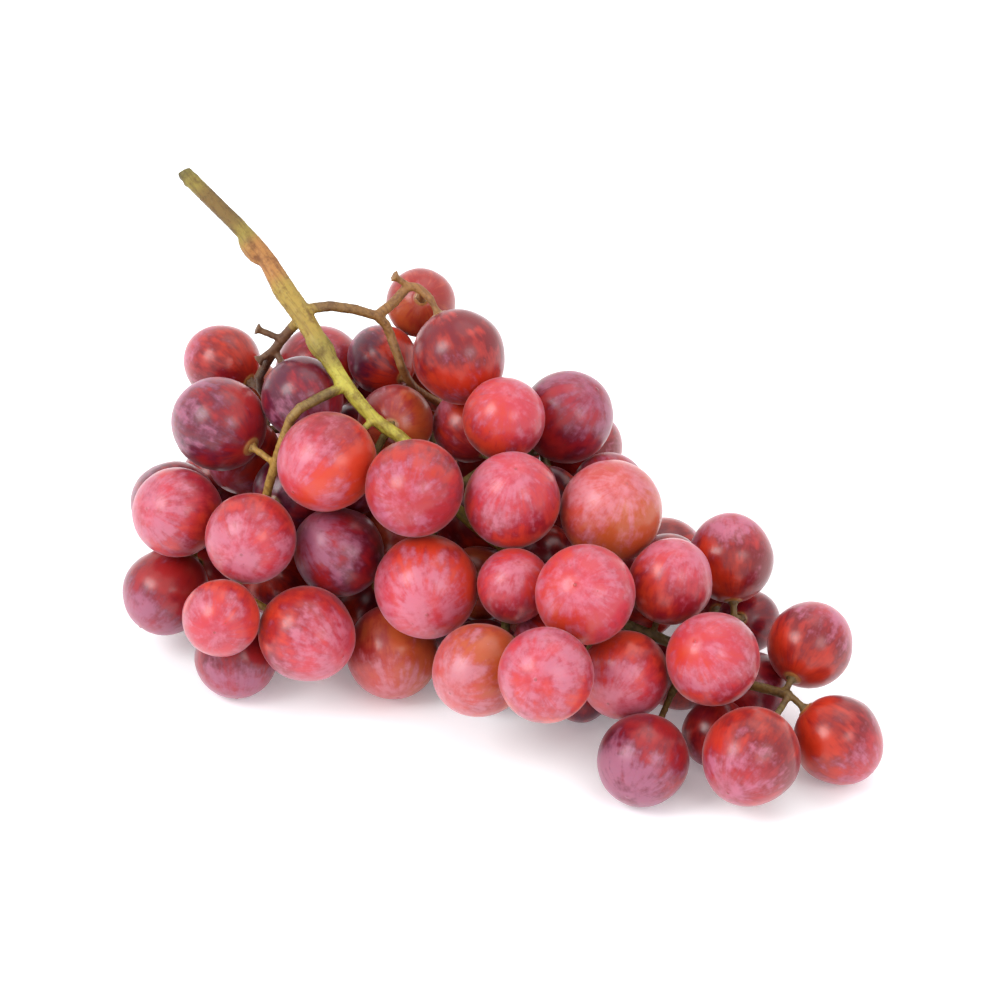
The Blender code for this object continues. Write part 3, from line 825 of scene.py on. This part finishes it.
# The stem skeleton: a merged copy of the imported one, rounded, knotted and given its bark.
stem = {
    "voxel": 0.45 * mm,
    "smoothRounds": 3,
    "grainSize": 1.6 * mm,
    "grainHeight": 0.16 * mm,
    "wartSize": 0.8 * mm,
    "wartHeight": 0.12 * mm,
    "mainHalfWidth": 3.2 * mm,  # from here outwards a branch takes over the colour
    "branchFade": 2.5 * mm,
    "seatReach": 2.4 * mm,  # how far from a berry its receptacle's dark skin reaches
    "toneReach": 2.0 * mm,
    "fibreScale": 1100.0,
    "patchScale": 260.0,
    "wartScale": 900.0,
    "patchShare": 0.75,
    "fibreShare": 0.5,
    "shade": (0.40, 0.28, 0.22, 1.0),
    "speckColour": (0.060, 0.026, 0.010, 1.0),
    "seatColour": (0.150, 0.085, 0.030, 1.0),
    "seatShare": 0.45,
    "bump": 0.7,
    "bumpDepth": 0.2 * mm,
    "subsurface": 0.08,
    "subsurfaceScale": 1.0 * mm,
}

# Swellings and scars on the main stem, in millimetres: place, half width, half length along the stalk.
stalkWay = Vector((-0.797, 0.178, 0.577))
stemKnots = {
    "ringScar": ((-109.6, 15.6, 117.4), 2.5, 1.3),
    "kneeBump": ((-88.8, 13.2, 102.6), 2.55, 5.4),
    "kneeScar": ((-88.4, 12.2, 103.4), 1.7, 2.2),
    "forkSwelling": ((-62.0, 5.6, 83.4), 3.2, 6.0),
    "crownSwelling": ((-52.8, 2.3, 76.0), 2.4, 3.4),
}

woodTones = {
    "cutGreen": (0.120, 0.095, 0.016),
    "bark": (0.150, 0.082, 0.014),
    "olive": (0.240, 0.180, 0.024),
    "russet": (0.360, 0.150, 0.034),
    "gold": (0.330, 0.220, 0.034),
    "lime": (0.440, 0.390, 0.050),
    "limeBrown": (0.420, 0.240, 0.045),
    "dull": (0.150, 0.105, 0.026),
    "brown": (0.270, 0.120, 0.030),
    "dried": (0.120, 0.050, 0.020),
}
mainStemTones = [  # along the stalk and the rachis, in millimetres
    ((-112.3, 15.7, 119.4), "cutGreen"), ((-109.0, 15.5, 117.0), "olive"), ((-104.0, 15.2, 113.6), "bark"),
    ((-97.0, 14.8, 109.0), "bark"), ((-92.0, 14.5, 105.8), "olive"), ((-87.5, 13.9, 102.5), "russet"),
    ((-82.0, 12.2, 98.3), "russet"), ((-76.0, 10.2, 93.8), "gold"), ((-68.0, 7.8, 88.0), "gold"),
    ((-60.0, 5.0, 81.8), "olive"), ((-53.3, 2.5, 76.7), "lime"), ((-47.0, 1.5, 71.5), "lime"),
    ((-40.0, 1.5, 66.5), "lime"), ((-32.0, 2.5, 62.0), "lime"), ((-26.0, 2.6, 55.0), "lime"),
    ((-10.0, 3.5, 41.5), "olive"), ((15.0, 1.5, 34.0), "dull"), ((45.0, 2.0, 27.0), "dull"),
    ((73.0, 2.5, 20.5), "bark"), ((88.0, 2.5, 21.5), "bark"),
]
branchTones = {
    "top_fork": "brown", "top_spur": "brown", "back_shoulder": "dried", "shoulder": "limeBrown",
    "shoulder_side": "olive", "rachis": "dull", "centre_back": "dull", "core_back": "dull",
    "belly": "olive", "keel": "dull", "flank": "dull", "fore": "dull", "tip_front": "bark", "tip_side": "bark",
    "inner": "dull",
}


def addKnot(name, at, radius, length):
    clearSelection()
    bpy.ops.mesh.primitive_ico_sphere_add(subdivisions=3, radius=1.0, location=[number * mm for number in at])
    knot = bpy.context.object
    knot.name = name
    knot.scale = (radius * mm, radius * mm, length * mm)
    knot.rotation_euler = stalkWay.to_track_quat("Z", "Y").to_euler()
    bpy.ops.object.transform_apply(location=True, rotation=True, scale=True)
    return knot


shortStem = {
    "berryEnd": 1.0 * mm,
    "rootEnd": 1.25 * mm,
    "overlap": 1.0 * mm,
    "seat": 2.1 * mm,  # the flare where the berry sits
    "seatLength": 1.6 * mm,
    "seatLift": 0.7 * mm,
}


def addShortStem(name, found):
    # A straight short stem from the main one, flared where its berry sits.
    clearSelection()
    start, end = found["root"], found["stemEnd"] + found["axis"] * 0.1 * mm
    middle, way = (start + end) / 2, (start - end)
    bpy.ops.mesh.primitive_cone_add(
        vertices=12,
        radius1=shortStem["berryEnd"],
        radius2=shortStem["rootEnd"],
        depth=way.length + shortStem["overlap"],
        location=middle,
    )
    twig = bpy.context.object
    twig.name = name
    twig.rotation_euler = way.to_track_quat("Z", "Y").to_euler()
    bpy.ops.object.transform_apply(location=True, rotation=True, scale=True)
    bpy.ops.mesh.primitive_cone_add(
        vertices=12,
        radius1=shortStem["seat"],
        radius2=shortStem["berryEnd"],
        depth=shortStem["seatLength"],
        location=end + found["axis"] * shortStem["seatLift"],
    )
    flare = bpy.context.object
    flare.rotation_euler = way.to_track_quat("Z", "Y").to_euler()
    bpy.ops.object.transform_apply(location=True, rotation=True, scale=True)
    return [twig, flare]


def makeStem():
    piece = bpy.data.objects.new("bunchStem", stemNode.data.copy())
    bpy.context.scene.collection.objects.link(piece)
    pick(piece)
    bpy.ops.object.mode_set(mode="EDIT")
    bpy.ops.mesh.select_all(action="SELECT")
    bpy.ops.mesh.remove_doubles(threshold=1e-6)
    bpy.ops.object.mode_set(mode="OBJECT")
    knots = [addKnot(name, *sizes) for name, sizes in stemKnots.items()]
    for name in pocketNames:
        knots += addShortStem("twig_" + name, places[name])
    pick(piece)
    for knot in knots:
        knot.select_set(True)
    bpy.ops.object.join()
    finishWith(piece, "REMESH", mode="VOXEL", voxel_size=stem["voxel"])
    finishWith(piece, "SMOOTH", factor=0.5, iterations=stem["smoothRounds"])
    for size, height in ((stem["grainSize"], stem["grainHeight"]), (stem["wartSize"], stem["wartHeight"])):
        rough = bpy.data.textures.new("bark", "CLOUDS")
        rough.noise_scale = size
        finishWith(piece, "DISPLACE", texture=rough, texture_coords="LOCAL", strength=height, mid_level=0.5)
    bpy.ops.object.shade_smooth()
    return piece


def farFromLine(points, corners):
    # Each point's distance to a line of straight spans.
    nearest = np.full(len(points), 1.0)
    for start, end in zip(corners, corners[1:]):
        way = end - start
        share = np.clip(((points - start) @ way) / (way @ way), 0.0, 1.0)
        nearest = np.minimum(nearest, np.linalg.norm(points - start - share[:, None] * way, axis=1))
    return nearest


def toneOf(points, tones):
    total, mixed = np.zeros(len(points)), np.zeros((len(points), 3))
    for at, tone in tones:
        pull = 1.0 / (np.sum((points - at) ** 2, axis=1) + stem["toneReach"] ** 2) ** 2
        total += pull
        mixed += pull[:, None] * np.array(woodTones[tone])
    return mixed / total[:, None]


def dressStem(piece):
    points = pointsOf(piece.data)
    main = [(np.array(at) * mm, tone) for at, tone in mainStemTones]
    side = [(np.array(places[name]["stemEnd"]), branchTones[name.split("_berry_")[0]]) for name in places]
    away = farFromLine(points, [at for at, tone in main])
    onBranch = np.clip((away - stem["mainHalfWidth"]) / stem["branchFade"], 0.0, 1.0)[:, None]
    mixed = toneOf(points, main) * (1 - onBranch) + toneOf(points, side) * onBranch
    seats = np.zeros(len(points))
    for name in places:
        gap = np.linalg.norm(points - np.array(places[name]["stemEnd"]), axis=1)
        seats = np.maximum(seats, np.exp(-((gap / stem["seatReach"]) ** 2)))
    colours = np.concatenate([mixed, np.ones((len(points), 1))], axis=1)
    tone = piece.data.attributes.new("woodTone", "FLOAT_COLOR", "POINT")
    tone.data.foreach_set("color", colours.astype(np.float32).reshape(-1))
    writeNumbers(piece.data, "seat", seats)


def stemMaterial():
    material = bpy.data.materials.new("grapeWood")
    material.use_nodes = True
    tree = material.node_tree
    shader = tree.nodes["Principled BSDF"]
    where = addNode(tree, "ShaderNodeTexCoord").outputs["Object"]
    # Turned so that x runs along the stalk, and drawn out along it.
    turned = {0: where, 2: (0.0, math.radians(-35.2), math.radians(167.4)), 3: (9.0, 1.0, 1.0)}
    along = addNode(tree, "ShaderNodeMapping", turned, vector_type="TEXTURE").outputs[0]
    fibres = cloud(tree, along, stem["fibreScale"], 3.0, 0.6)
    patches = cloud(tree, where, stem["patchScale"], 4.0, 0.65)
    warts = addNode(tree, "ShaderNodeTexVoronoi", {"Vector": where, "Scale": stem["wartScale"]})
    tone = addNode(tree, "ShaderNodeAttribute", attribute_name="woodTone").outputs["Color"]
    seat = readNumber(tree, "seat")
    shade = {0: 1.0, 6: tone, 7: stem["shade"]}
    darker = addNode(tree, "ShaderNodeMix", shade, data_type="RGBA", blend_type="MULTIPLY").outputs[2]
    patchAt = maths(tree, "MULTIPLY", ramp(tree, patches, 0.48, 0.68), stem["patchShare"])
    fibreAt = maths(tree, "MULTIPLY", ramp(tree, fibres, 0.46, 0.66), stem["fibreShare"])
    colour = blend(tree, fibreAt, blend(tree, patchAt, tone, darker), darker)
    speck = ramp(tree, warts.outputs["Distance"], 0.32, 0.16)
    speckShare = maths(tree, "MULTIPLY_ADD", seat, 0.7, 0.12, clamped=True)
    colour = blend(tree, maths(tree, "MULTIPLY", speck, speckShare), colour, stem["speckColour"])
    colour = blend(tree, maths(tree, "MULTIPLY", seat, stem["seatShare"]), colour, stem["seatColour"])
    height = maths(tree, "ADD", maths(tree, "MULTIPLY", fibres, 0.7), maths(tree, "MULTIPLY", speck, 0.6))
    bumpInputs = {"Strength": stem["bump"], "Distance": stem["bumpDepth"], "Height": height}
    bump = addNode(tree, "ShaderNodeBump", bumpInputs)
    tree.links.new(colour, shader.inputs["Base Color"])
    tree.links.new(maths(tree, "MULTIPLY_ADD", patches, 0.25, 0.42), shader.inputs["Roughness"])
    tree.links.new(bump.outputs[0], shader.inputs["Normal"])
    shader.inputs["Subsurface Weight"].default_value = stem["subsurface"]
    shader.inputs["Subsurface Scale"].default_value = stem["subsurfaceScale"]
    return material


bunchStem = makeStem()
dressStem(bunchStem)
bunchStem.data.materials.clear()
bunchStem.data.materials.append(stemMaterial())
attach(bunchStem, "root")
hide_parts("stem")
print("grown the stem,", len(bunchStem.data.polygons), "faces")
